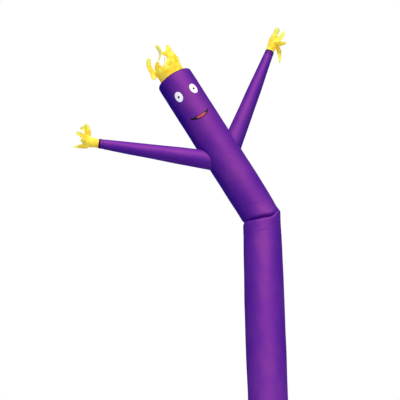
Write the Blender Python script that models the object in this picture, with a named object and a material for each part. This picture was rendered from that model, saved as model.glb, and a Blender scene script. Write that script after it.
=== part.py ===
"""Inflatable air dancer: a bent cloth tube with a face, two arms, and cut strips for hair and hands.

Metres, +Z up. The origin is the centre of the tube's open base. The tube rises straight to the
waist, buckles there and leans to -X. The face looks to -Y. Left and right are as seen from -Y.
"""
from collections import namedtuple
from math import cos, pi, radians, sin, tan

import bmesh
import bpy
from mathutils import Matrix, Vector

# Cloth
CLOTH = 0.002
HEM_DOUBLE = 2.0
HEM_HEIGHT = 0.05
PATCH = 0.001
GAP = 0.0003

# The tube: angles in degrees, azimuths from the side that it leans to (0) by the front (90)
TUBE_RADIUS = 0.2285
TUBE_SIDES = 48
WAIST_HEIGHT = 3.75
LEAN_HEADING = 192.2
LEAN_ANGLE = 32.5
UPPER_LENGTH = 2.02
SHOULDER_RADIUS = 0.027
SHOULDER_SEAM_ANGLE = 45
SEAM_MARGIN_ANGLE = 1

LowerRow = namedtuple("LowerRow", "height radius shift")
LOWER_TUBE = [
    LowerRow(0.00, 0.2285, 0.000),
    LowerRow(0.05, 0.2285, 0.000),
    LowerRow(0.90, 0.2235, 0.006),
    LowerRow(1.70, 0.2205, 0.009),
    LowerRow(2.20, 0.2275, 0.004),
    LowerRow(2.75, 0.2295, 0.001),
    LowerRow(3.30, 0.2275, 0.000),
]

UpperRow = namedtuple("UpperRow", "distance radius")
UPPER_TUBE = [
    UpperRow(0.38, 0.2270),
    UpperRow(0.60, 0.2285),
    UpperRow(1.20, 0.2285),
    UpperRow(1.60, 0.2285),
]

# The buckled waist: how far the crease hangs below the mitre, and how deep it tucks in
WAIST_RADIUS = 0.2235
FOLD_DEPTH = 0.030
Station = namedtuple("Station", "azimuth drop depth lip hollow")
FOLD_AROUND = [
    Station(0, 0.014, 0.030, 0.000, 0.000),
    Station(40, 0.016, 0.030, 0.003, 0.000),
    Station(66, 0.028, 0.030, 0.008, 0.000),
    Station(98, 0.042, 0.027, 0.010, 0.000),
    Station(112, 0.030, 0.022, 0.008, 0.001),
    Station(125, 0.004, 0.010, 0.004, 0.003),
    Station(142, 0.000, 0.000, 0.001, 0.006),
    Station(180, 0.000, 0.000, 0.000, 0.008),
]
FoldRow = namedtuple("FoldRow", "side folded plain depth lip hollow")
FOLD_ACROSS = [
    FoldRow("lower", -0.140, -0.140, 0.00, 0.00, 0.0),
    FoldRow("lower", -0.060, -0.070, 0.00, 0.35, 0.0),
    FoldRow("lower", -0.024, -0.035, 0.04, 0.50, 0.0),
    FoldRow("lower", -0.009, -0.015, 0.35, 0.20, 0.0),
    FoldRow("valley", 0.004, 0.000, 1.00, 0.00, 0.0),
    FoldRow("upper", -0.003, 0.012, 0.15, 0.60, 0.2),
    FoldRow("upper", 0.007, 0.026, 0.00, 1.00, 0.5),
    FoldRow("upper", 0.032, 0.045, 0.00, 0.90, 0.8),
    FoldRow("upper", 0.072, 0.080, 0.00, 0.40, 1.0),
    FoldRow("upper", 0.145, 0.150, 0.00, 0.00, 0.4),
]

# Arms: tapered sleeves sewn over holes in the upper tube
ARM_SIDES = 24
ARM_HOLE_RADIUS = 0.095
HOLE_GUIDE_LENGTH = 0.5
WALL_GUIDE_SPAN = (0.3, 1.8)
Arm = namedtuple("Arm", "side start azimuth spread reach")
ARMS = [
    Arm("left", 0.772, -2.2, 52.3, 1.556),
    Arm("right", 0.811, 169.1, 53.5, 1.518),
]
SleeveRow = namedtuple("SleeveRow", "along radius")
SLEEVE = [
    SleeveRow(-0.18, 0.1240),
    SleeveRow(0.00, 0.1145),
    SleeveRow(0.25, 0.1015),
    SleeveRow(0.50, 0.0872),
    SleeveRow(0.75, 0.0718),
    SleeveRow(0.92, 0.0605),
    SleeveRow(1.00, 0.0535),
]

# Crown panel and the hair band that stands in its hole
CROWN_HOLE_RADIUS = 0.1645
CROWN_SLOPE = 10
CROWN_BEND_ANGLE = 65
HAIR_FRONT_AZIMUTH = 71.3
BandRow = namedtuple("BandRow", "along radius")
HAIR_BAND = [BandRow(-0.008, 0.1635), BandRow(0.05, 0.1640), BandRow(0.115, 0.1650)]
HAIR_STRIP_WIDTH = 0.057

# Strips: root azimuth from the front to the side, then side, front and up of the bend and the tip
Strip = namedtuple("Strip", "root bend tip turn")
HAIR_STRIPS = [
    Strip(0, (0.02, 0.21, 0.20), (0.09, 0.18, 0.30), 15),
    Strip(22.5, (0.07, 0.18, 0.26), (0.12, 0.12, 0.37), 20),
    Strip(45, (0.11, 0.13, 0.28), (0.155, 0.06, 0.42), -20),
    Strip(67.5, (0.16, 0.07, 0.22), (0.150, 0.06, 0.30), -35),
    Strip(90, (0.18, 0.00, 0.16), (0.170, -0.02, 0.21), -15),
    Strip(112.5, (0.16, -0.06, 0.22), (0.13, -0.06, 0.33), 30),
    Strip(135, (0.13, -0.12, 0.24), (0.10, -0.12, 0.38), 25),
    Strip(157.5, (0.07, -0.17, 0.25), (0.08, -0.21, 0.36), 25),
    Strip(180, (-0.03, -0.13, 0.33), (0.035, -0.10, 0.50), 0),
    Strip(202.5, (-0.08, -0.19, 0.25), (-0.05, -0.23, 0.34), 0),
    Strip(225, (-0.11, -0.08, 0.27), (0.045, -0.02, 0.36), -75),
    Strip(247.5, (-0.20, -0.12, 0.20), (-0.21, -0.17, 0.27), 0),
    Strip(270, (-0.23, -0.02, 0.24), (-0.130, 0.00, 0.39), 70),
    Strip(292.5, (-0.24, 0.09, 0.18), (-0.210, 0.14, 0.08), 50),
    Strip(315, (-0.12, 0.15, 0.18), (-0.055, 0.17, 0.24), 25),
    Strip(337.5, (-0.05, 0.15, 0.18), (0.02, 0.12, 0.25), 80),
]

CUFF_BAND = [
    BandRow(-0.02, 0.0500),
    BandRow(0.02, 0.0505),
    BandRow(0.06, 0.0550),
    BandRow(0.09, 0.0600),
]
FINGER_WIDTH = 0.060
HAND_STRIPS = {
    "left": [
        Strip(-208, (0.09, -0.06, 0.18), (0.145, -0.05, 0.235), 60),
        Strip(-136, (-0.05, -0.05, 0.18), (-0.075, -0.04, 0.285), -40),
        Strip(-64, (-0.07, 0.10, 0.13), (-0.080, 0.12, 0.170), 20),
        Strip(8, (0.03, 0.07, 0.18), (0.070, 0.06, 0.275), 15),
        Strip(80, (0.11, 0.02, 0.13), (0.205, 0.02, 0.180), -60),
    ],
    "right": [
        Strip(-80, (-0.06, 0.02, 0.22), (-0.015, 0.02, 0.340), 55),
        Strip(-8, (0.03, 0.08, 0.19), (0.075, 0.06, 0.305), 10),
        Strip(64, (0.07, 0.06, 0.15), (0.145, 0.05, 0.200), -40),
        Strip(136, (0.12, -0.05, 0.10), (0.160, -0.05, -0.070), 30),
        Strip(-152, (-0.02, -0.09, 0.19), (0.02, -0.08, 0.300), 30),
    ],
}
STRIP_ROWS = 7
STRIP_LEAD = 0.05
STRIP_TIP_WIDTH = 0.7
TANGENT_STEP = 0.02

# Face, sewn on: heights are measured down from the head's rim
FACE_AZIMUTH = 76
EYE_SPREAD = 26.7
EYE_DROP = 0.293
EYE_SIZE = (0.098, 0.132)
PUPIL_SIZE = (0.026, 0.026)
EYE_SIDES = 24
EYE_RINGS = (0.35, 0.7, 1.0)
MOUTH_SPREAD = 34
MOUTH_DROP = 0.589
MOUTH_TOP_SAG = 0.026
MOUTH_BOTTOM_SAG = 0.067
MOUTH_TIP_WIDTH = 0.004
MOUTH_FULLNESS = 0.8
MOUTH_COLUMNS = 20
RED_SPAN = (-0.42, 0.52)
RED_INSET = 0.006

PURPLE = (0.20, 0.025, 0.36)
YELLOW = (0.95, 0.70, 0.03)
WHITE = (0.90, 0.90, 0.92)
BLACK = (0.015, 0.012, 0.015)
RED = (0.45, 0.05, 0.05)
CLOTH_ROUGHNESS = 0.5
PATCH_ROUGHNESS = 0.6
SHARP_ANGLE = 40


class Frame:
    """An axis through origin: azimuth 0 is first, azimuth 90 is second."""

    def __init__(self, origin, first, second, along):
        self.origin, self.first, self.second, self.along = origin, first, second, along

    def out(self, azimuth):
        angle = radians(azimuth)
        return self.first * cos(angle) + self.second * sin(angle)

    def at(self, azimuth, radius, distance):
        return self.origin + self.out(azimuth) * radius + self.along * distance

    def spot(self, side, front, up):
        """A place given by its side, front and up: azimuth 0 is the front, 90 the side."""
        return self.origin + self.second * side + self.first * front + self.along * up


UP = Vector((0, 0, 1))
LEAN = Vector((cos(radians(LEAN_HEADING)), sin(radians(LEAN_HEADING)), 0))
FRONT = UP.cross(LEAN)
TILT = radians(LEAN_ANGLE)
MITRE = tan(TILT / 2)
LOWER = Frame(Vector((0, 0, 0)), LEAN, FRONT, UP)
UPPER = Frame(
    UP * WAIST_HEIGHT,
    LEAN * cos(TILT) - UP * sin(TILT),
    FRONT,
    LEAN * sin(TILT) + UP * cos(TILT),
)


def head_frame():
    """Axes at the head's rim: front, side to the right, and along the tube."""
    front = UPPER.out(HAIR_FRONT_AZIMUTH)
    side = UPPER.out(HAIR_FRONT_AZIMUTH + 90)
    return Frame(UPPER.at(0, 0, UPPER_LENGTH), front, side, UPPER.along)


def arm_frame(arm, distance):
    """Axes on an arm's centre line: front is level, and side completes them."""
    spread = radians(arm.spread)
    along = UPPER.out(arm.azimuth) * sin(spread) + UPPER.along * cos(spread)
    front = (UPPER.out(HAIR_FRONT_AZIMUTH) - along * along.dot(UPPER.out(HAIR_FRONT_AZIMUTH))).normalized()
    return Frame(UPPER.at(0, 0, arm.start) + along * distance, front, along.cross(front), along)


def clear_scene():
    for item in list(bpy.data.objects):
        bpy.data.objects.remove(item, do_unlink=True)


def cloth_material(name, colour, roughness):
    material = bpy.data.materials.new(name)
    material.use_nodes = True
    shader = material.node_tree.nodes["Principled BSDF"]
    shader.inputs["Base Color"].default_value = (*colour, 1)
    shader.inputs["Roughness"].default_value = roughness
    shader.inputs["Metallic"].default_value = 0
    return material


def add_object(name, work, material=None):
    """A named object from a bmesh of one surface or solid, smooth but for its sharp edges."""
    mesh = bpy.data.meshes.new(name)
    work.to_mesh(mesh)
    work.free()
    mesh.shade_smooth()
    mesh.set_sharp_from_angle(angle=radians(SHARP_ANGLE))
    if material:
        mesh.materials.append(material)
    item = bpy.data.objects.new(name, mesh)
    bpy.context.scene.collection.objects.link(item)
    return item


def thicken(item, thickness, inward=True):
    cloth = item.modifiers.new("Cloth", "SOLIDIFY")
    cloth.thickness = thickness
    cloth.offset = -1 if inward else 1
    cloth.use_even_offset = True
    return cloth


def cut(item, cutter):
    """Subtract a guide object, which stays in the file as a wire outline."""
    cutter.hide_render = True
    cutter.display_type = "WIRE"
    boolean = item.modifiers.new("Cut " + cutter.name, "BOOLEAN")
    boolean.operation = "DIFFERENCE"
    boolean.solver = "EXACT"
    boolean.object = cutter


def loft(rings, closed=False):
    """A tube through rings of points, from its near end to its far end, faces turned out."""
    work = bmesh.new()
    rows = [[work.verts.new(point) for point in ring] for ring in rings]
    for low, high in zip(rows, rows[1:]):
        for i in range(len(low)):
            j = (i + 1) % len(low)
            work.faces.new((low[i], low[j], high[j], high[i]))
    if closed:
        work.faces.new(reversed(rows[0]))
        work.faces.new(rows[-1])
    return work


def azimuths(sides):
    return [360 * i / sides for i in range(sides)]


def around_fold(azimuth):
    """The crease's drop, depth, lip and hollow at an azimuth, eased between its stations."""
    turn = abs((azimuth + 180) % 360 - 180)
    for before, after in zip(FOLD_AROUND, FOLD_AROUND[1:]):
        if turn <= after.azimuth:
            part = (turn - before.azimuth) / (after.azimuth - before.azimuth)
            ease = part * part * (3 - 2 * part)
            return Station(*(a + (b - a) * ease for a, b in zip(before, after)))
    return FOLD_AROUND[-1]


def fold_point(row, azimuth):
    station = around_fold(azimuth)
    fullness = station.depth / FOLD_DEPTH
    offset = row.plain + (row.folded - row.plain) * fullness - station.drop
    radius = WAIST_RADIUS + row.lip * station.lip
    radius -= row.depth * station.depth + row.hollow * station.hollow
    mitre = radius * cos(radians(azimuth)) * MITRE
    below = LOWER.at(azimuth, radius, WAIST_HEIGHT - mitre + offset)
    above = UPPER.at(azimuth, radius, mitre + offset)
    return {"lower": below, "upper": above, "valley": (below + above) / 2}[row.side]


def shoulder_point(angle, azimuth):
    """On the rounded shoulder at the head's rim, at an angle up from the tube's wall."""
    radius = TUBE_RADIUS - SHOULDER_RADIUS * (1 - cos(radians(angle)))
    return UPPER.at(azimuth, radius, UPPER_LENGTH - SHOULDER_RADIUS * (1 - sin(radians(angle))))


def make_body(material):
    """The one-piece tube: hem, lower tube, buckled waist, upper tube and half the shoulder."""
    turns = azimuths(TUBE_SIDES)
    rings = [
        [LOWER.at(a, row.radius, row.height) + Vector((row.shift, 0, 0)) for a in turns]
        for row in LOWER_TUBE
    ]
    rings += [[fold_point(row, a) for a in turns] for row in FOLD_ACROSS]
    rings += [[UPPER.at(a, row.radius, row.distance) for a in turns] for row in UPPER_TUBE]
    seam = SHOULDER_SEAM_ANGLE
    angles = (0, seam / 2, seam - SEAM_MARGIN_ANGLE, seam)
    rings += [[shoulder_point(angle, a) for a in turns] for angle in angles]
    body = add_object("body_tube", loft(rings), material)
    hem = body.vertex_groups.new(name="hem")
    low = [v.index for v in body.data.vertices if v.co.z <= HEM_HEIGHT + GAP]
    hem.add(low, 1.0, "REPLACE")
    cloth = thicken(body, CLOTH * HEM_DOUBLE)
    cloth.vertex_group = hem.name
    cloth.thickness_vertex_group = 1 / HEM_DOUBLE
    for arm in ARMS:
        frame = arm_frame(arm, 0)
        ends = (0, HOLE_GUIDE_LENGTH)
        rings = [[frame.at(a, ARM_HOLE_RADIUS, d) for a in azimuths(ARM_SIDES)] for d in ends]
        cut(body, add_object("hole_guide_" + arm.side, loft(rings, closed=True)))


def make_crown_panel(material):
    """The ring of cloth that closes the head around the hair, slightly domed."""
    turns = azimuths(TUBE_SIDES)
    start = SHOULDER_SEAM_ANGLE + GAP / SHOULDER_RADIUS / pi * 180
    end = 90 - CROWN_SLOPE
    angles = (start, start + SEAM_MARGIN_ANGLE, CROWN_BEND_ANGLE, end)
    rings = [[shoulder_point(angle, a) for a in turns] for angle in angles]
    edge = TUBE_RADIUS - SHOULDER_RADIUS * (1 - cos(radians(end)))
    height = UPPER_LENGTH - SHOULDER_RADIUS * (1 - sin(radians(end)))
    height += (edge - CROWN_HOLE_RADIUS) * tan(radians(CROWN_SLOPE))
    rings.append([UPPER.at(a, CROWN_HOLE_RADIUS, height) for a in turns])
    thicken(add_object("crown_panel", loft(rings), material), CLOTH)


def make_arm(arm, material):
    """A tapered sleeve from the tube's wall to the wrist, its root shaped to the wall."""
    wall = TUBE_RADIUS / sin(radians(arm.spread))
    frame = arm_frame(arm, wall)
    reach = arm.reach - wall
    rings = [[frame.at(a, row.radius, row.along * reach) for a in azimuths(ARM_SIDES)] for row in SLEEVE]
    sleeve = add_object("arm_" + arm.side, loft(rings), material)
    thicken(sleeve, CLOTH)
    radius = TUBE_RADIUS + GAP / cos(pi / TUBE_SIDES)
    rings = [[UPPER.at(a, radius, d) for a in azimuths(TUBE_SIDES)] for d in WALL_GUIDE_SPAN]
    cut(sleeve, add_object("wall_guide_" + arm.side, loft(rings, closed=True)))


def bezier(points, t):
    a, b, c, d = points
    u = 1 - t
    return a * u**3 + b * (3 * t * u**2) + c * (3 * t**2 * u) + d * t**3


def strip_rows(frame, strip, width, root):
    """Rows of left, middle and right points along a strip, from the band's edge to its tip."""
    middle = root[1]
    path = (middle, middle + frame.along * STRIP_LEAD, frame.spot(*strip.bend), frame.spot(*strip.tip))
    across = (root[2] - root[0]).normalized()
    cup = middle - (root[0] + root[2]) / 2
    rows = []
    for i in range(1, STRIP_ROWS + 1):
        t = i / STRIP_ROWS
        along = (bezier(path, min(t + TANGENT_STEP, 1)) - bezier(path, t - TANGENT_STEP)).normalized()
        flat = (across - along * across.dot(along)).normalized()
        flat = Matrix.Rotation(radians(strip.turn) * t, 3, along) @ flat
        half = flat * width / 2 * (1 + (STRIP_TIP_WIDTH - 1) * t)
        centre = bezier(path, t)
        rows.append((centre - half, centre + cup * (1 - t), centre + half))
    return rows


def make_strips(name, frame, band, strips, width, material):
    """A band of cloth whose far edge is cut into strips, as one sheet."""
    work = bmesh.new()
    edge_radius = band[-1].radius
    half = width / 2 / edge_radius * 180 / pi
    turns = [strip.root + step for strip in strips for step in (-half, 0, half)]
    rows = [[work.verts.new(frame.at(a, row.radius, row.along)) for a in turns] for row in band]
    for low, high in zip(rows, rows[1:]):
        for i in range(len(low)):
            j = (i + 1) % len(low)
            work.faces.new((low[i], low[j], high[j], high[i]))
    for number, strip in enumerate(strips):
        before = rows[-1][3 * number : 3 * number + 3]
        for points in strip_rows(frame, strip, width, [v.co.copy() for v in before]):
            after = [work.verts.new(point) for point in points]
            for i in range(2):
                work.faces.new((before[i], before[i + 1], after[i + 1], after[i]))
            before = after
    thicken(add_object(name, work, material), CLOTH)


def face_point(azimuth, drop, lift):
    return UPPER.at(azimuth, TUBE_RADIUS + lift, UPPER_LENGTH - drop)


def make_oval(name, azimuth, drop, size, lift, material):
    """An oval patch bent to the tube's wall."""
    work = bmesh.new()
    centre = work.verts.new(face_point(azimuth, drop, lift))
    before = None
    for share in EYE_RINGS:
        ring = []
        for turn in azimuths(EYE_SIDES):
            sideways = size[0] / 2 * share * cos(radians(turn)) / TUBE_RADIUS * 180 / pi
            down = size[1] / 2 * share * sin(radians(turn))
            ring.append(work.verts.new(face_point(azimuth + sideways, drop + down, lift)))
        for i in range(EYE_SIDES):
            j = (i + 1) % EYE_SIDES
            if before:
                work.faces.new((before[i], before[j], ring[j], ring[i]))
            else:
                work.faces.new((centre, ring[j], ring[i]))
        before = ring
    thicken(add_object(name, work, material), PATCH, inward=False)


def make_crescent(name, span, inset, lift, material):
    """A smile between two sagging edges, over a span of the mouth's half width."""
    work = bmesh.new()
    before = None
    for i in range(MOUTH_COLUMNS + 1):
        x = span[0] + (span[1] - span[0]) * i / MOUTH_COLUMNS
        top = MOUTH_DROP + MOUTH_TOP_SAG * (1 - x * x)
        bottom = MOUTH_DROP + MOUTH_BOTTOM_SAG * max(1 - x * x, 0) ** MOUTH_FULLNESS
        middle = (top + bottom) / 2
        along = 2 * i / MOUTH_COLUMNS - 1
        round_end = max(1 - along**4, 0) ** 0.5 if inset else 1
        reach = max((bottom - top) / 2 - inset, 0) * round_end
        reach = max(reach, MOUTH_TIP_WIDTH / 2)
        azimuth = FACE_AZIMUTH + x * MOUTH_SPREAD
        column = [work.verts.new(face_point(azimuth, middle + k * reach, lift)) for k in (-1, 0, 1)]
        if before:
            for a in range(2):
                work.faces.new((before[a], before[a + 1], column[a + 1], column[a]))
        before = column
    thicken(add_object(name, work, material), PATCH, inward=False)


def make_face(white, black, red):
    second = GAP + PATCH + GAP
    for side, spread in (("left", -EYE_SPREAD), ("right", EYE_SPREAD)):
        azimuth = FACE_AZIMUTH + spread
        make_oval("eye_" + side, azimuth, EYE_DROP, EYE_SIZE, GAP, white)
        make_oval("pupil_" + side, azimuth, EYE_DROP, PUPIL_SIZE, second, black)
    make_crescent("mouth", (-1, 1), 0, GAP, black)
    make_crescent("mouth_red", RED_SPAN, RED_INSET, second, red)


def main():
    clear_scene()
    purple = cloth_material("purple_cloth", PURPLE, CLOTH_ROUGHNESS)
    yellow = cloth_material("yellow_cloth", YELLOW, CLOTH_ROUGHNESS)
    white = cloth_material("white_patch", WHITE, PATCH_ROUGHNESS)
    black = cloth_material("black_patch", BLACK, PATCH_ROUGHNESS)
    red = cloth_material("red_patch", RED, PATCH_ROUGHNESS)
    make_body(purple)
    make_crown_panel(purple)
    make_strips("hair", head_frame(), HAIR_BAND, HAIR_STRIPS, HAIR_STRIP_WIDTH, yellow)
    for arm in ARMS:
        make_arm(arm, purple)
        wrist = arm_frame(arm, arm.reach)
        make_strips("hand_" + arm.side, wrist, CUFF_BAND, HAND_STRIPS[arm.side], FINGER_WIDTH, yellow)
    make_face(white, black, red)


main()
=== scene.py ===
# Looks of an inflatable air dancer: coated nylon tube, sewn arms and face, cut strips for hair and hands.
# Metres, +Z up. The face looks to -Y. Left and right are as seen from there.
from math import atan2, cos, degrees, pi, radians, sin, sqrt, tan

import bmesh
import bpy
import numpy as np
from mathutils import Matrix, Vector


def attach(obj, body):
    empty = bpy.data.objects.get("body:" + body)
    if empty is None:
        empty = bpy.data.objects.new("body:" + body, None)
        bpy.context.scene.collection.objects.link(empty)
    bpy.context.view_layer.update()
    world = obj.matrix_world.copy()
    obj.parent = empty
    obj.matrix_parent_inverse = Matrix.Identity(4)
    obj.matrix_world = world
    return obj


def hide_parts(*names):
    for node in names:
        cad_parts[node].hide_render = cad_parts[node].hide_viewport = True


print("frame: loading the packed model")
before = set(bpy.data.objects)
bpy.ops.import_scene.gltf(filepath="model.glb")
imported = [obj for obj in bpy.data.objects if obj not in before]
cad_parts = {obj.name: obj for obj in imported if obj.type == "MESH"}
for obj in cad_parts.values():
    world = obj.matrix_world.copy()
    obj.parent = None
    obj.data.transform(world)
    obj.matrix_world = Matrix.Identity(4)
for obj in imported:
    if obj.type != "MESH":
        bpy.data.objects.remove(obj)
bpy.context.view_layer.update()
bpy.ops.object.select_all(action="DESELECT")

up = Vector((0, 0, 1))

# sizes that the whole dancer shares, in metres and degrees
dancer = {
    "tubeRadius": 0.2285,
    "waistHeight": 3.75,
    "leanHeading": 192.2,
    "leanAngle": 32.5,
    "upperLength": 2.02,
    "shoulderRadius": 0.027,
    "rimSeamAngle": 45,
    "frontAzimuth": 71.3,
    "cloth": 0.002,
    "hemHeight": 0.05,
    "seamGap": 0.0003,
    "backSeamAzimuth": 262,
}


class Axes:
    # an axis through origin: azimuth 0 is first, azimuth 90 is second
    def __init__(self, origin, first, second, along):
        self.origin, self.first, self.second, self.along = origin, first, second, along

    def out(self, azimuth):
        return self.first * cos(radians(azimuth)) + self.second * sin(radians(azimuth))

    def at(self, azimuth, radius, distance):
        return self.origin + self.out(azimuth) * radius + self.along * distance

    def spot(self, side, front, rise):
        return self.origin + self.second * side + self.first * front + self.along * rise


lean = Vector((cos(radians(dancer["leanHeading"])), sin(radians(dancer["leanHeading"])), 0))
tilt = radians(dancer["leanAngle"])
lower = Axes(Vector((0, 0, 0)), lean, up.cross(lean), up)
upper = Axes(
    up * dancer["waistHeight"],
    lean * cos(tilt) - up * sin(tilt),
    up.cross(lean),
    lean * sin(tilt) + up * cos(tilt),
)


# Camera at the photo's angle, first so that nothing below depends on it
print("camera: standing low in front, looking up")
camera = {"lens": 54, "place": (-0.740, -6.962, 1.989), "pitch": 15.8}
bpy.ops.object.camera_add(location=camera["place"], rotation=(radians(90 + camera["pitch"]), 0, 0))
bpy.context.object.data.lens = camera["lens"]
bpy.context.object.data.clip_end = 200
bpy.context.scene.camera = bpy.context.object


# Materials


class Field:
    # a number that varies over a surface; arithmetic on it adds Math nodes
    def __init__(self, finish, socket):
        self.finish, self.socket = finish, socket

    def math(self, operation, *values):
        return self.finish.add("ShaderNodeMath", {"operation": operation}, dict(enumerate(values)))

    def __add__(self, other):
        return self.math("ADD", self, other)

    def __sub__(self, other):
        return self.math("SUBTRACT", self, other)

    def __rsub__(self, other):
        return self.math("SUBTRACT", other, self)

    def __mul__(self, other):
        return self.math("MULTIPLY", self, other)

    def __abs__(self):
        return self.math("ABSOLUTE", self)

    __radd__ = __add__
    __rmul__ = __mul__

    def sine(self):
        return self.math("SINE", self)

    def ease(self, start, end):
        # 0 below start, 1 past end, smooth between them
        settings = {"interpolation_type": "SMOOTHSTEP"}
        return self.finish.add("ShaderNodeMapRange", settings, {0: self, 1: start, 2: end})

    def spread(self, middle, width):
        # from noise, a value that varies by this width about its middle
        return self * width + (middle - width / 2)

    def line(self, centre, half, soft):
        # 1 along a line of this half width, 0 away from it
        return 1 - abs(self - centre).ease(half, half + soft)


class Finish:
    # one material: a Principled shader and the nodes that feed it
    def __init__(self, name, roughness, **fixed):
        self.material = bpy.data.materials.new(name)
        self.material.use_nodes = True
        self.tree = self.material.node_tree
        self.shader = self.tree.nodes["Principled BSDF"]
        self.output = self.tree.nodes["Material Output"]
        self.shader.inputs["Roughness"].default_value = roughness
        for socket, value in fixed.items():
            self.shader.inputs[socket].default_value = value

    def add(self, kind, settings=None, inputs=None, output=0):
        node = self.tree.nodes.new(kind)
        for key, value in (settings or {}).items():
            setattr(node, key, value)
        for key, value in (inputs or {}).items():
            if isinstance(value, Field):
                self.tree.links.new(value.socket, node.inputs[key])
            else:
                node.inputs[key].default_value = value
        return Field(self, node.outputs[output])

    def clothMap(self):
        # across and along the cut cloth, in metres, from the piece's own map
        place = self.add("ShaderNodeUVMap", {"uv_map": "cloth"})
        split = {"Vector": place}
        across = self.add("ShaderNodeSeparateXYZ", {}, split, "X")
        along = self.add("ShaderNodeSeparateXYZ", {}, split, "Y")
        return place, across, along

    def noise(self, vector, scale, detail=2.0):
        return self.add("ShaderNodeTexNoise", {}, {"Vector": vector, "Scale": scale, "Detail": detail})

    def stretch(self, vector, scale):
        return self.add("ShaderNodeMapping", {}, {"Vector": vector, "Scale": scale})

    def objectPlace(self):
        return self.add("ShaderNodeTexCoord", {}, {}, "Object")

    def blend(self, amount, first, second):
        # a colour between two others; each may be fixed or another blend
        first, second = (c if isinstance(c, Field) else (*c, 1) for c in (first, second))
        return self.add("ShaderNodeMix", {"data_type": "RGBA"}, {0: amount, 6: first, 7: second}, 2)

    def feed(self, socket, value):
        self.tree.links.new(value.socket, self.shader.inputs[socket])

    def addBumps(self, *layers):
        # bump layers, coarse to fine: height field, strength and depth in metres
        normal = None
        for height, strength, depth in layers:
            inputs = {"Height": height, "Strength": strength, "Distance": depth}
            if normal:
                inputs["Normal"] = normal
            normal = self.add("ShaderNodeBump", {}, inputs)
        self.normal = normal
        self.feed("Normal", normal)

    def mixIn(self, amount, second):
        # shows this share of a second shader beside the first
        inputs = {0: amount, 1: Field(self, self.shader.outputs[0]), 2: second}
        mixed = self.add("ShaderNodeMixShader", {}, inputs)
        self.tree.links.new(mixed.socket, self.output.inputs["Surface"])


def weave(across, along, pitch):
    turns = 2 * pi / pitch
    return (across * turns).sine() * (along * turns).sine()


nylon = {
    "cloth": (0.062, 0.0100, 0.60),
    "faded": (0.085, 0.0170, 0.56),
    "gloss": (0.46, 0.076, 0.37),
    "glossFaded": (0.54, 0.110, 0.40),
    "seam": (0.012, 0.002, 0.070),
    "glossShare": 0.5,
    "sleeveGlossShare": 0.44,
    "glossRoughness": 0.73,
    "roughness": 0.62,
    "cloudScale": 3.2,
    "crinkleScale": 16.0,
    "yarnStretch": (900, 6, 1),
    "yarnShade": 0.12,
    "seamSoftness": 0.002,
    "weavePitch": 0.0011,
    "crinkle": (0.22, 0.004),  # strength and depth of a bump
    "weave": (0.20, 0.0002),
}


def purpleNylon(name, seamAndShadeLines, glossShare):
    # indigo in the shade and pinker where it faces the light, as shot nylon is
    # where each sewn line runs round the cloth, half its width and how dark it is; the wide dark bands at the
    # rim and the sleeve's end are partly seam and partly painted shade
    sheen = {"Sheen Weight": 0.05, "Sheen Roughness": 0.4, "Sheen Tint": (0.3, 0.15, 1.0, 1)}
    finish = Finish(name, nylon["roughness"], **sheen, **{"Specular IOR Level": 0.15})
    place, across, along = finish.clothMap()
    spots = finish.objectPlace()
    cloud = finish.noise(spots, nylon["cloudScale"], 3.0)
    yarns = finish.noise(finish.stretch(place, nylon["yarnStretch"]), 1.0)
    crinkle = finish.noise(spots, nylon["crinkleScale"], 3.0)
    worn = cloud.ease(0.32, 0.70)
    colour = finish.blend(worn, nylon["cloth"], nylon["faded"])
    gloss = finish.blend(worn, nylon["gloss"], nylon["glossFaded"])
    gloss = finish.blend(yarns.ease(0.3, 0.8) * nylon["yarnShade"], gloss, nylon["seam"])
    # dark seam lines; the wide ones at the rim and the sleeve's end are painted shade as much as seam,
    # darkening both the cloth and its gloss
    sewn = None
    for seam, half, strength in seamAndShadeLines:
        mark = along.line(seam, half, nylon["seamSoftness"]) * strength
        sewn = sewn + mark if sewn else mark
    if sewn:
        colour = finish.blend(sewn, colour, nylon["seam"])
        gloss = finish.blend(sewn, gloss, nylon["seam"])
    finish.feed("Base Color", colour)
    finish.feed("Roughness", cloud.spread(nylon["roughness"], 0.12))
    woven = weave(across, along, nylon["weavePitch"])
    finish.addBumps((crinkle, *nylon["crinkle"]), (woven, *nylon["weave"]))
    rough = cloud.spread(nylon["glossRoughness"], 0.10)
    inputs = {"Color": gloss, "Roughness": rough, "Normal": finish.normal}
    satin = finish.add("ShaderNodeBsdfAnisotropic", {}, inputs)
    finish.mixIn(glossShare, satin)
    return finish.material


yellow = {
    "deep": (0.98, 0.72, 0.026),
    "light": (0.98, 0.94, 0.135),
    "tip": (0.88, 0.93, 0.28),
    # painted shade: the darker orange that the streaks take, standing in for shade in folds between strips
    "fold": (0.86, 0.45, 0.020),
    # painted light: how strongly the yellow cloth glows, as an emission
    "paintedGlowStrength": 0.38,
    "through": 0.42,
    "roughness": 0.42,
    "cloudScale": 11.0,
    "streakStretch": (34, 7, 1),
    "paintedFoldShade": 0.55,
    "tipShade": 0.8,
    "weavePitch": 0.0011,
    "crumple": (0.35, 0.004),
    "weave": (0.20, 0.0002),
}


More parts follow.
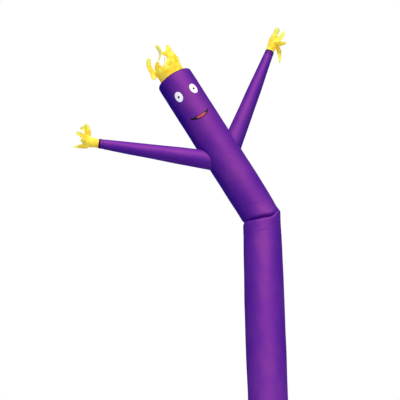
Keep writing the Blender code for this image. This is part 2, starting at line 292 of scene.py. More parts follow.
def yellowNylon(name, tipStart, tipEnd):
    # thin, so light comes through it; painted light: an emission in its own colour makes it glow a little all
    # over, standing in for that light; the free ends are paler
    fixed = {"Sheen Weight": 0.15, "Specular IOR Level": 0.35, "Emission Strength": yellow["paintedGlowStrength"]}
    finish = Finish(name, yellow["roughness"], **fixed)
    place, across, along = finish.clothMap()
    cloud = finish.noise(finish.objectPlace(), yellow["cloudScale"], 3.0)
    streak = finish.noise(finish.stretch(place, yellow["streakStretch"]), 1.0, 3.0)
    colour = finish.blend(cloud.ease(0.34, 0.66), yellow["light"], yellow["deep"])
    # painted shade: stretched streaks pull the colour towards the fold orange, as shade in folds would
    colour = finish.blend(streak.ease(0.60, 0.78) * yellow["paintedFoldShade"], colour, yellow["fold"])
    colour = finish.blend(along.ease(tipStart, tipEnd) * yellow["tipShade"], colour, yellow["tip"])
    finish.feed("Base Color", colour)
    # painted light: the strips glow in their own colour though they are no lamp
    finish.feed("Emission Color", colour)
    finish.feed("Roughness", cloud.spread(yellow["roughness"], 0.12))
    woven = weave(across, along, yellow["weavePitch"])
    finish.addBumps((cloud, *yellow["crumple"]), (woven, *yellow["weave"]))
    finish.mixIn(yellow["through"], finish.add("ShaderNodeBsdfTranslucent", {}, {"Color": colour}))
    return finish.material


patches = {
    "white": {"cloth": (0.93, 0.90, 0.96), "worn": (0.88, 0.84, 0.92), "paintedGlow": 0.38},
    "black": {"cloth": (0.012, 0.010, 0.013), "worn": (0.030, 0.026, 0.032), "paintedGlow": 0.0},
    "red": {"cloth": (0.80, 0.110, 0.110), "worn": (0.66, 0.085, 0.085), "paintedGlow": 0.0},
    "roughness": 0.55,
    "cloudScale": 26.0,
    "weavePitch": 0.0009,
    "crumple": (0.25, 0.002),
    "weave": (0.30, 0.0002),
}


def patchCloth(colour):
    # painted light: thin white cloth glows with an emission in its own colour, standing in for light that
    # comes through it from the far side
    look = patches[colour]
    fixed = {"Sheen Weight": 0.1, "Specular IOR Level": 0.3, "Emission Strength": look["paintedGlow"]}
    finish = Finish(colour + "Patch", patches["roughness"], **fixed)
    place, across, along = finish.clothMap()
    cloud = finish.noise(finish.objectPlace(), patches["cloudScale"], 3.0)
    shade = finish.blend(cloud.ease(0.35, 0.8) * 0.6, look["cloth"], look["worn"])
    finish.feed("Base Color", shade)
    # painted light: the white patches glow with their own colour though they are no lamp
    if look["paintedGlow"]:
        finish.feed("Emission Color", shade)
    finish.feed("Roughness", cloud.spread(patches["roughness"], 0.16))
    woven = weave(across, along, patches["weavePitch"])
    finish.addBumps((cloud, *patches["crumple"]), (woven, *patches["weave"]))
    return finish.material


threads = {
    "purple": (0.060, 0.010, 0.120),
    "dark": (0.030, 0.006, 0.050),
    "roughness": 0.42,
    "shade": 0.55,
    "strandScale": 900.0,
    "strands": (0.4, 0.0003),
}


def threadFinish(name):
    colour = threads[name]
    finish = Finish(name + "Thread", threads["roughness"], **{"Sheen Weight": 0.2})
    strands = finish.noise(finish.objectPlace(), threads["strandScale"], 1.0)
    shade = tuple(threads["shade"] * c for c in colour)
    finish.feed("Base Color", finish.blend(strands.ease(0.35, 0.7), colour, shade))
    finish.addBumps((strands, *threads["strands"]))
    return finish.material


# Cloth grids


def asArray(points):
    return np.array([tuple(p) for p in points])


def runAlong(points):
    # how far along a line each of its points is
    return np.concatenate([[0], np.cumsum(np.linalg.norm(np.diff(points, axis=0), axis=1))])


def rampUp(distance, over):
    # 0 at the start, 1 from this far on
    return np.clip(distance / over, 0, 1)


def metresRound(azimuth, middle):
    # metres along the tube's wall from a middle azimuth, the short way round
    return np.radians((azimuth - middle + 180) % 360 - 180) * dancer["tubeRadius"]


def ringMap(turns, along, radius):
    # the cloth map of rings: metres round and along, with the first column again at the end
    across = np.radians(np.append(turns, turns[0] + 360)) * radius
    along = np.concatenate([along, along[:, :1]], axis=1)
    return np.stack([np.broadcast_to(across, along.shape), along], axis=-1)


def smoothRows(rows, steps):
    # extra rows between each pair, on a smooth curve through them all
    made = []
    for i, count in enumerate(steps):
        here, there = rows[i], rows[i + 1]
        before = rows[i - 1] if i else 2 * here - there
        after = rows[i + 2] if i + 2 < len(rows) else 2 * there - here
        d1, d2, d3 = (
            np.sqrt(np.linalg.norm(b - a, axis=1, keepdims=True)) + 1e-9
            for a, b in ((before, here), (here, there), (there, after))
        )
        leave = (there - here) + d2 * ((here - before) / d1 - (there - before) / (d1 + d2))
        arrive = (there - here) + d2 * ((after - there) / d3 - (after - here) / (d2 + d3))
        for k in range(count):
            t = k / count
            h1, h2 = 2 * t**3 - 3 * t**2 + 1, t**3 - 2 * t**2 + t
            h3, h4 = 3 * t**2 - 2 * t**3, t**3 - t**2
            made.append(h1 * here + h2 * leave + h3 * there + h4 * arrive)
    made.append(rows[-1])
    return np.array(made)


def gridNormals(points, wrap):
    if wrap:
        around = np.roll(points, -1, axis=1) - np.roll(points, 1, axis=1)
    else:
        around = np.gradient(points, axis=1)
    normals = np.cross(around, np.gradient(points, axis=0))
    return normals / (np.linalg.norm(normals, axis=2, keepdims=True) + 1e-12)


def makePiece(name, material, work=None):
    # a linked object, from what was built in a bmesh if that is given
    mesh = bpy.data.meshes.new(name)
    if work:
        work.to_mesh(mesh)
        work.free()
        mesh.shade_smooth()
    mesh.materials.append(material)
    piece = bpy.data.objects.new(name, mesh)
    bpy.context.scene.collection.objects.link(piece)
    return piece


def clothGrid(name, points, uvs, material, wrap=True):
    # a sheet from rows of points; where it wraps, the map has one column more than the points
    rows, columns = points.shape[:2]
    spans = columns if wrap else columns - 1
    row, column = np.meshgrid(np.arange(rows - 1), np.arange(spans), indexing="ij")
    nextColumn = (column + 1) % columns
    here, above = row * columns, (row + 1) * columns
    faces = [here + column, here + nextColumn, above + nextColumn, above + column]
    faces = np.stack(faces, axis=-1).reshape(-1, 4)
    corners = [uvs[row, column], uvs[row, column + 1], uvs[row + 1, column + 1], uvs[row + 1, column]]
    piece = makePiece(name, material)
    piece.data.from_pydata(points.reshape(-1, 3).tolist(), [], faces.tolist())
    layer = piece.data.uv_layers.new(name="cloth")
    layer.data.foreach_set("uv", np.stack(corners, axis=2).astype(float).reshape(-1))
    piece.data.shade_smooth()
    return piece


def makeActive(piece):
    bpy.ops.object.select_all(action="DESELECT")
    piece.select_set(True)
    bpy.context.view_layer.objects.active = piece


def applyAll(piece):
    makeActive(piece)
    for modifier in list(piece.modifiers):
        bpy.ops.object.modifier_apply(modifier=modifier.name)


def thicken(piece, thickness, inward=True):
    wall = piece.modifiers.new("Cloth", "SOLIDIFY")
    wall.thickness = thickness
    wall.offset = -1 if inward else 1
    wall.use_even_offset = True
    return wall


def assign(piece, node, slot):
    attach(piece, "root")
    if node:
        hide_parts(node)


def sewUp(piece, thickness, node, slot, inward=True):
    thicken(piece, thickness, inward)
    applyAll(piece)
    assign(piece, node, slot)


# Tube: the rows of its solid, and how many finer rows run between them
tube = {
    "columns": 120,
    "lowerRows": [  # height, radius, shift to +X, finer rows up to the next
        (0.00, 0.2285, 0.000, 10),
        (0.05, 0.2285, 0.000, 34),
        (0.90, 0.2235, 0.006, 30),
        (1.70, 0.2205, 0.009, 20),
        (2.20, 0.2275, 0.004, 22),
        (2.75, 0.2295, 0.001, 22),
        (3.30, 0.2275, 0.000, 20),
    ],
    "upperRows": [  # distance from the waist, radius, finer rows
        (0.38, 0.2270, 12),
        (0.60, 0.2285, 44),
        (1.20, 0.2285, 20),
        (1.60, 0.2285, 22),
    ],
    "shoulderAngles": [(0, 5), (22.5, 5), (44, 2), (45, 0)],  # angle, finer rows
    "seamWidth": 0.013,
    "seamRise": 0.0009,
    "seamWave": (0.0008, 62, 0.03),  # height, radians a metre, fade to each side
    "sways": [  # height, waves round the tube, radians a metre up it, start
        (0.0009, 3, 4.1, 0.0),
        (0.0007, 5, -6.3, 1.3),
        (0.0006, 2, 9.7, 0.6),
        (0.0004, 9, 15.1, 0.0),
    ],
    "hemGathers": (46, 0.0005, 0.03, 1.0),  # gathers round the seam, height, fade, start
    "rimGathers": (38, 0.0006, 0.035, 2.0),
    "armGathers": (15, 0.0011, 0.045),
    "hemGroove": (0.0010, 0.003),  # depth, width
    "armGroove": (0.0030, 0.008),
}
fold = {
    "radius": 0.2235,
    "depth": 0.030,
    "stations": [  # azimuth, drop, depth, lip, hollow
        (0, 0.012, 0.003, 0.000, 0.000),
        (18, 0.016, 0.014, 0.002, 0.000),
        (40, 0.032, 0.026, 0.004, 0.000),
        (66, 0.041, 0.034, 0.008, 0.000),
        (98, 0.053, 0.033, 0.010, 0.000),
        (112, 0.039, 0.024, 0.008, 0.001),
        (125, 0.007, 0.010, 0.004, 0.003),
        (142, 0.000, 0.000, 0.001, 0.006),
        (180, 0.000, 0.000, 0.000, 0.008),
    ],
    "rows": [  # side, folded, plain, depth, lip, hollow, finer rows
        ("lower", -0.140, -0.140, 0.00, 0.00, 0.0, 12),
        ("lower", -0.060, -0.070, 0.00, 0.35, 0.0, 9),
        ("lower", -0.024, -0.035, 0.04, 0.50, 0.0, 6),
        ("lower", -0.009, -0.015, 0.35, 0.20, 0.0, 7),
        ("valley", 0.000, 0.000, 1.00, 0.00, 0.0, 6),
        ("upper", 0.008, 0.012, 0.76, 0.05, 0.1, 6),
        ("upper", 0.021, 0.028, 0.30, 0.45, 0.4, 6),
        ("upper", 0.038, 0.052, 0.00, 0.70, 0.8, 8),
        ("upper", 0.090, 0.094, 0.00, 0.40, 1.0, 10),
        ("upper", 0.145, 0.150, 0.00, 0.00, 0.4, 14),
    ],
}

# soft creases on the tube's chart: azimuth and height where each starts and ends, half width, depth
# past the waist the height goes on along the leaning tube
creases = [
    (104, 3.628, 158, 3.660, 0.011, 0.0050),
    (112, 3.590, 150, 3.598, 0.010, 0.0018),
    (106, 3.528, 143, 3.522, 0.011, 0.0026),
    (118, 3.440, 150, 3.450, 0.016, 0.0014),
    (30, 3.560, 62, 3.590, 0.014, 0.0020),
    (52, 3.500, 92, 3.540, 0.020, 0.0016),
    (-20, 3.520, 14, 3.560, 0.016, 0.0022),
    (124, 3.770, 150, 3.700, 0.014, 0.0040),
    (118, 3.830, 138, 3.780, 0.016, 0.0026),
    (96, 3.905, 124, 3.850, 0.020, 0.0020),
    (60, 3.930, 88, 3.880, 0.018, 0.0016),
    (20, 3.960, 46, 3.910, 0.020, 0.0020),
    (200, 3.640, 236, 3.610, 0.012, 0.0042),
    (210, 3.560, 246, 3.548, 0.012, 0.0022),
    (214, 3.720, 236, 3.790, 0.014, 0.0034),
    (236, 3.880, 268, 3.930, 0.018, 0.0022),
    (300, 3.900, 330, 3.960, 0.020, 0.0020),
    (296, 3.530, 330, 3.500, 0.018, 0.0020),
]


def foldAt(azimuth):
    # drop, depth, lip and hollow of the crease at an azimuth, eased between its stations
    turn = abs((azimuth + 180) % 360 - 180)
    stations = fold["stations"]
    for before, after in zip(stations, stations[1:]):
        if turn <= after[0]:
            part = (turn - before[0]) / (after[0] - before[0])
            ease = part * part * (3 - 2 * part)
            return [a + (b - a) * ease for a, b in zip(before[1:], after[1:])]
    return list(stations[-1][1:])


def foldPoint(row, azimuth):
    side, folded, plain, depthShare, lipShare, hollowShare, _ = row
    drop, depth, lip, hollow = foldAt(azimuth)
    offset = plain + (folded - plain) * depth / fold["depth"] - drop
    radius = fold["radius"] + lipShare * lip - depthShare * depth - hollowShare * hollow
    mitre = radius * cos(radians(azimuth)) * tan(tilt / 2)
    below = lower.at(azimuth, radius, dancer["waistHeight"] - mitre + offset)
    above = upper.at(azimuth, radius, mitre + offset)
    return {"lower": below, "upper": above, "valley": (below + above) / 2}[side]


def shoulderPoint(angle, azimuth):
    bend = dancer["shoulderRadius"]
    radius = dancer["tubeRadius"] - bend * (1 - cos(radians(angle)))
    return upper.at(azimuth, radius, dancer["upperLength"] - bend * (1 - sin(radians(angle))))


# Arms: where each leaves the tube's axis, which way, and its sleeve's radius along it
arms = {
    "left": {"start": 0.772, "azimuth": -2.2, "spread": 52.3, "reach": 1.556, "seed": 3.1},
    "right": {"start": 0.811, "azimuth": 169.1, "spread": 53.5, "reach": 1.518, "seed": 5.7},
}
sleeve = {
    "columns": 60,
    "radii": [  # share of the way from the tube's wall to the wrist, radius
        (-0.18, 0.1240),
        (0.00, 0.1145),
        (0.25, 0.1015),
        (0.50, 0.0872),
        (0.75, 0.0718),
        (0.92, 0.0605),
        (1.00, 0.0535),
    ],
    "closeRows": 26,
    "closeShare": 0.12,  # how much of the sleeve has closer rows, from its root
    "rows": 74,
    "cuffHem": 0.050,
    "cuffRows": 10,
    "holeRadius": 0.095,
    "rootHalfWidth": 0.1195,
    "mapRadius": 0.085,
    "ovalSway": (0.0008, 2, 7.3),
    "wallSway": (0.0007, 3, -11.9),
    "rootGathers": (11, 0.0014, 0.05),
    "cuffGathers": (9, 0.0007, 0.03),
    "rootGroove": (0.0018, 0.006),
    "cuffGroove": (0.0032, 0.004),
    "cuffRise": 0.0012,
}


def armAxes(arm, distance):
    spread = radians(arm["spread"])
    along = upper.out(arm["azimuth"]) * sin(spread) + upper.along * cos(spread)
    front = upper.out(dancer["frontAzimuth"])
    front = (front - along * along.dot(front)).normalized()
    return Axes(upper.at(0, 0, arm["start"]) + along * distance, front, along.cross(front), along)


def armRootOn(arm, azimuth, distance):
    # metres from the arm's root seam, and the angle round it, for places on the tube's wall
    sideways = metresRound(azimuth, arm["azimuth"])
    lengthwise = distance - arm["start"] - dancer["tubeRadius"] / tan(radians(arm["spread"]))
    halfWide, halfLong = sleeve["rootHalfWidth"], sleeve["radii"][1][1] / sin(radians(arm["spread"]))
    share = np.sqrt((sideways / halfWide) ** 2 + (lengthwise / halfLong) ** 2)
    return (share - 1) * (halfWide + halfLong) / 2, np.arctan2(sideways, lengthwise)


def pucker(fromSeam, turn, count, height, fade, seed):
    # little gathers that a sewn seam pulls into the cloth beside it: so many round it, fading away from it
    wave = np.cos(count * turn + seed) + 0.6 * np.cos((count * 1.7 // 1) * turn + 2.3 * seed)
    return height * wave * np.exp(-np.abs(fromSeam) / fade)


def sway(turn, distance, high, waves, rise, start=0.0):
    # slow waves of the loose cloth, so many round it and rising so many radians a metre
    return high * np.sin(waves * turn + rise * distance + start)


def groove(fromSeam, depth, width):
    # the dip that a line of stitches pulls into the cloth
    return -depth * np.exp(-((fromSeam / width) ** 2))


def creaseOffset(azimuth, height):
    # the soft troughs and the low ridge above each
    total = np.zeros(np.broadcast(azimuth, height).shape)
    for a0, h0, a1, h1, half, depth in creases:
        dx, dy = radians(a1 - a0) * dancer["tubeRadius"], h1 - h0
        x, y = metresRound(azimuth, a0), height - h0
        length = sqrt(dx * dx + dy * dy)
        along = (x * dx + y * dy) / length
        across = (y * dx - x * dy) / length
        share = along / length
        taper = np.clip(share * (1 - share) * 4, 0, 1) ** 0.7
        inside = (share > 0) & (share < 1)
        trough = groove(across, depth, half) - 0.45 * groove(across - 1.7 * half, depth, half)
        total += np.where(inside, taper * trough, 0)
    return total


def tubeOffset(azimuth, height):
    # how far the cloth stands out from the plain tube, for arrays of azimuth and height
    turn = np.radians(azimuth)
    waist, top = dancer["waistHeight"], dancer["waistHeight"] + dancer["upperLength"]
    waves = sum(sway(turn, height, *wave) for wave in tube["sways"])
    offset = waves * rampUp(height, 0.2) * rampUp(top - height, 0.12) + creaseOffset(azimuth, height)
    fromHem = height - dancer["hemHeight"]
    offset = offset + pucker(fromHem, turn, *tube["hemGathers"]) * (height > 0.004)
    offset = offset + groove(fromHem + 0.006, *tube["hemGroove"])
    offset = offset + pucker(top - height, turn, *tube["rimGathers"])
    for arm in arms.values():
        fromSeam, angle = armRootOn(arm, azimuth, height - waist)
        gathers = pucker(fromSeam, angle, *tube["armGathers"], arm["seed"])
        near = gathers + groove(fromSeam, *tube["armGroove"])
        offset = offset + np.where(height > waist + 0.5, near, 0)
    seamSide = np.abs(metresRound(azimuth, dancer["backSeamAzimuth"]))
    offset = offset + tube["seamRise"] * (seamSide < tube["seamWidth"] / 2)
    high, rise, fade = tube["seamWave"]
    gather = high * np.sin(height * rise) * np.exp(-seamSide / fade)
    return offset + gather * rampUp(height, 0.1) * rampUp(top - height, 0.1)


def wallPoint(azimuth, distance, lift=0.0):
    # on the leaning tube's outer face, as the cloth really stands there
    height = dancer["waistHeight"] + distance
    stand = float(tubeOffset(np.array([azimuth]), np.array([height]))[0])
    return upper.at(azimuth, dancer["tubeRadius"] + stand + lift, distance)


def tubeAzimuths():
    turns = [360 * i / tube["columns"] for i in range(tube["columns"])]
    half = degrees(tube["seamWidth"] / 2 / dancer["tubeRadius"])
    middle = dancer["backSeamAzimuth"]
    right = [half * 0.45, half - 0.02, half + 0.25]  # inside the seam's edge, at it and past it
    near = [middle - k for k in right] + [middle] + [middle + k for k in right]
    turns = [t for t in turns if abs(t - middle) > half + 0.8]
    return sorted(turns + near)


def makeTube(material):
    print("tube: rings from hem to head")
    turns = tubeAzimuths()
    waist = dancer["waistHeight"]
    rows, heights, steps = [], [], []

    def ring(pointAt, height, finer):
        rows.append(asArray(pointAt(a) for a in turns))
        heights.append(height if isinstance(height, list) else [height] * len(turns))
        steps.append(finer)

    for height, radius, shift, finer in tube["lowerRows"]:
        ring(lambda a: lower.at(a, radius, height) + Vector((shift, 0, 0)), height, finer)
    for row in fold["rows"]:
        sign = {"lower": -1, "valley": 0, "upper": 1}[row[0]]
        mitres = [sign * fold["radius"] * cos(radians(a)) * tan(tilt / 2) for a in turns]
        risen = [waist + m + row[1] - foldAt(a)[0] for a, m in zip(turns, mitres)]
        ring(lambda a: foldPoint(row, a), risen, row[-1])
    for distance, radius, finer in tube["upperRows"]:
        ring(lambda a: upper.at(a, radius, distance), waist + distance, finer)
    for angle, finer in tube["shoulderAngles"]:
        arc = dancer["shoulderRadius"] * (radians(angle) - 1)
        ring(lambda a: shoulderPoint(angle, a), waist + dancer["upperLength"] + arc, finer)
    points = smoothRows(rows, steps[:-1])
    spans = zip(heights, heights[1:], steps)
    spans = [np.linspace(np.array(a), np.array(b), finer, endpoint=False) for a, b, finer in spans]
    height = np.concatenate(spans + [np.array(heights[-1:])])
    azimuth = np.broadcast_to(np.array(turns), height.shape)
    points = points + gridNormals(points, True) * tubeOffset(azimuth, height)[..., None]
    piece = clothGrid("tubeCloth", points, ringMap(turns, height, dancer["tubeRadius"]), material)
    hem = piece.vertex_groups.new(name="hem")
    low = np.nonzero(height.reshape(-1) <= dancer["hemHeight"] + 1e-6)[0]
    hem.add([int(i) for i in low], 1.0, "REPLACE")
    wall = thicken(piece, dancer["cloth"] * 2)  # the hem is turned up double
    wall.vertex_group = "hem"
    wall.thickness_vertex_group = 0.5
    applyAll(piece)
    for arm in arms.values():
        cutArmHole(piece, arm)
    assign(piece, "body_tube", "purple_cloth")
    return points, height, turns


def cutArmHole(piece, arm):
    # a round cutter along the arm's axis, which opens the tube into the sleeve
    length = 0.5
    axes = armAxes(arm, length / 2)
    turn = axes.along.to_track_quat("Z", "Y").to_euler()
    bpy.ops.object.select_all(action="DESELECT")
    bpy.ops.mesh.primitive_cylinder_add(
        vertices=48, radius=sleeve["holeRadius"], depth=length, location=axes.origin, rotation=turn
    )
    cutter = bpy.context.object
    hole = piece.modifiers.new("Arm hole", "BOOLEAN")
    hole.operation = "DIFFERENCE"
    hole.object = cutter
    applyAll(piece)
    bpy.data.objects.remove(cutter, do_unlink=True)


# Crown panel: closes the head round the hair
crown = {"holeRadius": 0.1645, "slope": 10, "bendRows": 8, "rows": 16, "holeGathers": (30, 0.0007, 0.02, 4.0)}


def makeCrown(material):
    print("crown: the ring of cloth on the head")
    turns = tubeAzimuths()
    bend = dancer["shoulderRadius"]
    start = dancer["rimSeamAngle"] + degrees(dancer["seamGap"] / bend)
    end = 90 - crown["slope"]
    edge = dancer["tubeRadius"] - bend * (1 - cos(radians(end)))
    height = dancer["upperLength"] - bend * (1 - sin(radians(end)))
    top = height + (edge - crown["holeRadius"]) * tan(radians(crown["slope"]))
    angles = np.linspace(start, end, crown["bendRows"] + 1)
    rings = [[shoulderPoint(angle, a) for a in turns] for angle in angles]
    for k in range(1, crown["rows"] + 1):
        t = k / crown["rows"]
        radius, rise = edge + (crown["holeRadius"] - edge) * t, height + (top - height) * t
        rings.append([upper.at(a, radius, rise) for a in turns])
    points = np.array([asArray(ring) for ring in rings])
    fromSeam = runAlong(points[:, 0])[:, None]
    toHole = fromSeam[-1] - fromSeam
    turn = np.radians(turns)[None, :]
    gathers = pucker(fromSeam, turn, *tube["rimGathers"])
    gathers = gathers + pucker(toHole, turn, *crown["holeGathers"]) * (toHole > 0.002)
    points = points + gridNormals(points, True) * gathers[..., None]
    along = np.broadcast_to(fromSeam, points.shape[:2])
    piece = clothGrid("crownPanel", points, ringMap(turns, along, dancer["tubeRadius"]), material)
    sewUp(piece, dancer["cloth"], "crown_panel", "purple_cloth")
    return points


def sleeveRadius(share):
    for (s0, r0), (s1, r1) in zip(sleeve["radii"], sleeve["radii"][1:]):
        if share <= s1:
            return r0 + (r1 - r0) * (share - s0) / (s1 - s0)
    return sleeve["radii"][-1][1]


def makeArm(name, arm, material):
    print("arm:", name)
    wall = dancer["tubeRadius"] / sin(radians(arm["spread"]))
    axes = armAxes(arm, wall)
    reach = arm["reach"] - wall
    turns = [360 * i / sleeve["columns"] for i in range(sleeve["columns"])]

    def onSleeve(azimuth, share):
        return axes.at(azimuth, sleeveRadius(share), share * reach)

    def rootShare(azimuth):
        # halves the span until the sleeve's line meets the tube's wall
        inside, outside = -0.17, 0.25
        for attempt in range(26):
            share = (inside + outside) / 2
            point = onSleeve(azimuth, share) - upper.origin
            distance = point.dot(upper.along)
            flat = point - upper.along * distance
            around = degrees(atan2(flat.dot(upper.second), flat.dot(upper.first)))
            stand = float(tubeOffset(np.array([around]), np.array([dancer["waistHeight"] + distance]))[0])
            if flat.length > dancer["tubeRadius"] + stand + dancer["seamGap"] * 2:
                outside = share
            else:
                inside = share
        return outside

    roots = [rootShare(a) for a in turns]
    hemShare = 1 - sleeve["cuffHem"] / reach
    close = sleeve["closeShare"]
    steps = [close * (k / sleeve["closeRows"]) ** 1.4 for k in range(sleeve["closeRows"])]
    steps += [close + (1 - close) * k / sleeve["rows"] for k in range(sleeve["rows"])]
    shares = [[root + (hemShare - root) * t for root in roots] for t in steps]
    for k in range(sleeve["cuffRows"] + 1):
        shares.append([hemShare + (1 - hemShare) * k / sleeve["cuffRows"]] * len(turns))
    points = np.array([asArray(onSleeve(a, s) for a, s in zip(turns, row)) for row in shares])
    shares = np.array(shares)
    turn = np.radians(turns)[None, :]
    fromRoot = (shares - np.array(roots)[None, :]) * reach
    fromHem = (shares - hemShare) * reach
    offset = pucker(fromRoot, turn, *sleeve["rootGathers"], arm["seed"])
    offset = (offset + groove(fromRoot, *sleeve["rootGroove"])) * rampUp(fromRoot, 0.004)
    offset = offset + sway(turn, fromRoot, *sleeve["ovalSway"], arm["seed"])
    offset = offset + sway(turn, fromRoot, *sleeve["wallSway"]) * rampUp(fromRoot, 0.1)
    gathers = pucker(np.minimum(fromHem, 0), turn, *sleeve["cuffGathers"], arm["seed"] + 1)
    offset = offset + gathers * (fromHem < 0.001) + groove(fromHem, *sleeve["cuffGroove"])
    offset = (offset + sleeve["cuffRise"] * rampUp(fromHem, 0.004)) * rampUp(fromRoot, 0.001)
    points = points + gridNormals(points, True) * offset[..., None]
    uvs = ringMap(turns, (shares - 1) * reach, sleeve["mapRadius"])
    piece = clothGrid("arm" + name.capitalize(), points, uvs, material)
    sewUp(piece, dancer["cloth"], "arm_" + name, "purple_cloth")
    widest, narrowest = 2 * pi * sleeve["radii"][1][1], 2 * pi * sleeve["radii"][-1][1]
    (widest + narrowest) / 2 * reach
    return points


# Strips: a band whose far edge is cut into strips
# each strip: root azimuth from the front to the side, side/front/up of its bend and tip,
# turns half way and at the tip, share of its width at the tip, flutter, curl
hair = {
    "band": [(-0.008, 0.1635), (0.05, 0.1640), (0.115, 0.1650)],  # along, radius
    "width": 0.0630,
    "bandWave": 0.0025,
    "flat": (1.04, 0.50),
    "area": 0.42,
    "pale": (0.28, 0.42),  # how far along the cloth the ends begin to pale and are palest
    "strips": [
        (0, (0.160, 0.190, 0.176), (0.032, 0.160, 0.305), (-28, -5), 0.85, 0.005, 0.4),
        (22.5, (0.081, 0.160, 0.240), (0.124, 0.120, 0.345), (-22, -10), 0.75, 0.006, -0.5),
        (45, (0.127, 0.120, 0.273), (0.146, 0.060, 0.398), (-45, -40), 0.78, 0.005, 0.5),
        (67.5, (0.150, 0.070, 0.208), (0.138, 0.060, 0.303), (-50, -35), 0.70, 0.006, -0.5),
        (90, (0.168, 0.000, 0.166), (0.163, -0.020, 0.215), (-15, -15), 0.70, 0.006, 0.6),
        (112.5, (0.160, -0.060, 0.220), (0.130, -0.060, 0.330), (30, 45), 0.70, 0.010, -0.7),
        (135, (0.130, -0.120, 0.240), (0.100, -0.120, 0.380), (25, 45), 0.70, 0.010, 0.6),
        (157.5, (0.115, -0.170, 0.248), (0.138, -0.200, 0.354), (20, 22), 0.70, 0.010, -0.5),
        (180, (0.105, -0.235, 0.296), (0.154, -0.245, 0.426), (0, 0), 0.70, 0.008, 0.6),
        (202.5, (-0.071, -0.170, 0.251), (-0.050, -0.190, 0.319), (-20, -22), 0.70, 0.010, -0.7),
        (225, (0.086, -0.040, 0.278), (0.033, -0.020, 0.498), (48, 135), 0.80, 0.003, 0.4),
        (247.5, (-0.199, -0.060, 0.230), (-0.172, -0.075, 0.326), (-60, -75), 0.70, 0.006, 0.6),
        (270, (-0.234, 0.000, 0.283), (-0.127, 0.020, 0.382), (80, 100), 0.90, 0.005, -0.4),
        (292.5, (-0.202, 0.100, 0.210), (-0.212, 0.130, 0.080), (75, 95), 0.95, 0.004, 0.4),
        (315, (-0.145, 0.150, 0.188), (-0.061, 0.160, 0.228), (45, 60), 0.66, 0.005, -0.5),
        (337.5, (0.015, 0.160, 0.179), (0.028, 0.140, 0.244), (-30, -30), 0.42, 0.003, 0.5),
    ],
    "leaves": {225: (-0.180, -0.080, 0.378)},  # a strip that leaves the band off its straight line
}
hands = {
    "band": [(-0.02, 0.0500), (0.02, 0.0505), (0.06, 0.0550), (0.09, 0.0600)],
    "width": 0.0735,
    "bandWave": 0.0012,
    "flat": (0.38, 0.38),
    "area": 0.108,
    "pale": (0.20, 0.30),
    "leaves": {},
    "left": [
        (-208, (0.199, -0.050, 0.127), (0.147, -0.040, 0.235), (28, 20), 0.72, 0.004, 0.6),
        (-136, (-0.050, -0.050, 0.180), (-0.075, -0.040, 0.285), (-38, -40), 0.26, 0.003, -0.5),
        (-64, (-0.016, 0.100, 0.148), (0.010, 0.120, 0.200), (55, 70), 0.72, 0.003, 0.4),
        (8, (0.074, 0.070, 0.195), (0.076, 0.060, 0.269), (-5, -10), 0.52, 0.002, -0.4),
        (80, (0.169, 0.020, 0.140), (0.199, 0.020, 0.187), (-95, -85), 0.70, 0.002, 0.5),
    ],
    "right": [
        (-80, (0.003, 0.020, 0.229), (-0.016, 0.020, 0.333), (70, 85), 0.95, 0.004, 0.5),
        (-8, (0.099, 0.080, 0.144), (0.075, 0.060, 0.291), (5, 0), 0.62, 0.004, -0.6),
        (64, (0.107, 0.060, 0.113), (0.153, 0.050, 0.171), (-60, -60), 0.42, 0.003, 0.5),
        (136, (0.120, -0.050, 0.100), (0.160, -0.050, -0.070), (-15, -45), 0.42, 0.002, -0.4),
        (-152, (0.003, -0.090, 0.228), (0.038, -0.080, 0.270), (-28, -28), 0.70, 0.004, 0.5),
    ],
}
strip = {
    "columns": 8,
    "rows": 34,
    "bandRows": 8,
    "lead": 0.05,
    "thickness": 0.0009,
    "crumple": 0.0022,
    "roundFrom": 0.90,  # share of the way from which the end is cut round
    "roundShare": 0.115,
}


def bezier(points, t):
    a, b, c, d = points
    u = 1 - t
    return a * u**3 + b * (3 * t * u**2) + c * (3 * t**2 * u) + d * t**3


def stripPoints(axes, spec, kind, roots, radius, seed):
    # rows of points from the band's edge to the strip's free end
    azimuth, bend, tip, (turnHalfWay, turnAtTip), tipWidth, flutter, curl = spec
    middle = roots[len(roots) // 2]
    leave = middle + axes.along * strip["lead"]
    if azimuth in kind["leaves"]:
        leave = axes.spot(*kind["leaves"][azimuth])
    path = (middle, leave, axes.spot(*bend), axes.spot(*tip))
    across = (roots[-1] - roots[0]).normalized()
    rows = []
    for k in range(1, strip["rows"] + 1):
        t = k / strip["rows"]
        along = (bezier(path, min(t + 0.02, 1)) - bezier(path, t - 0.02)).normalized()
        flat = (across - along * across.dot(along)).normalized()
        turn = (4 * turnHalfWay - turnAtTip) * t + (2 * turnAtTip - 4 * turnHalfWay) * t * t
        flat = Matrix.Rotation(radians(turn), 3, along) @ flat
        out = flat.cross(along)
        half = kind["width"] / 2 * (1 + (tipWidth - 1) * t**1.8)
        half *= sqrt(max(1 - (max(t - strip["roundFrom"], 0) / strip["roundShare"]) ** 2, 0.02))
        bow = (1 - t) / radius + t * curl / half
        centre = bezier(path, t) + out * flutter * t * sin(2 * pi * (1.15 * t) + seed)
        row = []
        for i in range(strip["columns"] + 1):
            x = 2 * i / strip["columns"] - 1
            angle = bow * x * half
            crumple = strip["crumple"] * t * sin(9 * t + 2.6 * x + seed) * sin(17 * t - 3.1 * x + 2 * seed)
            spot = centre + flat * (sin(angle) / bow) + out * ((cos(angle) - 1) / bow + crumple)
            row.append(spot + (roots[i] - middle - flat * x * half) * (1 - t) ** 6)
        rows.append(row)
    return rows


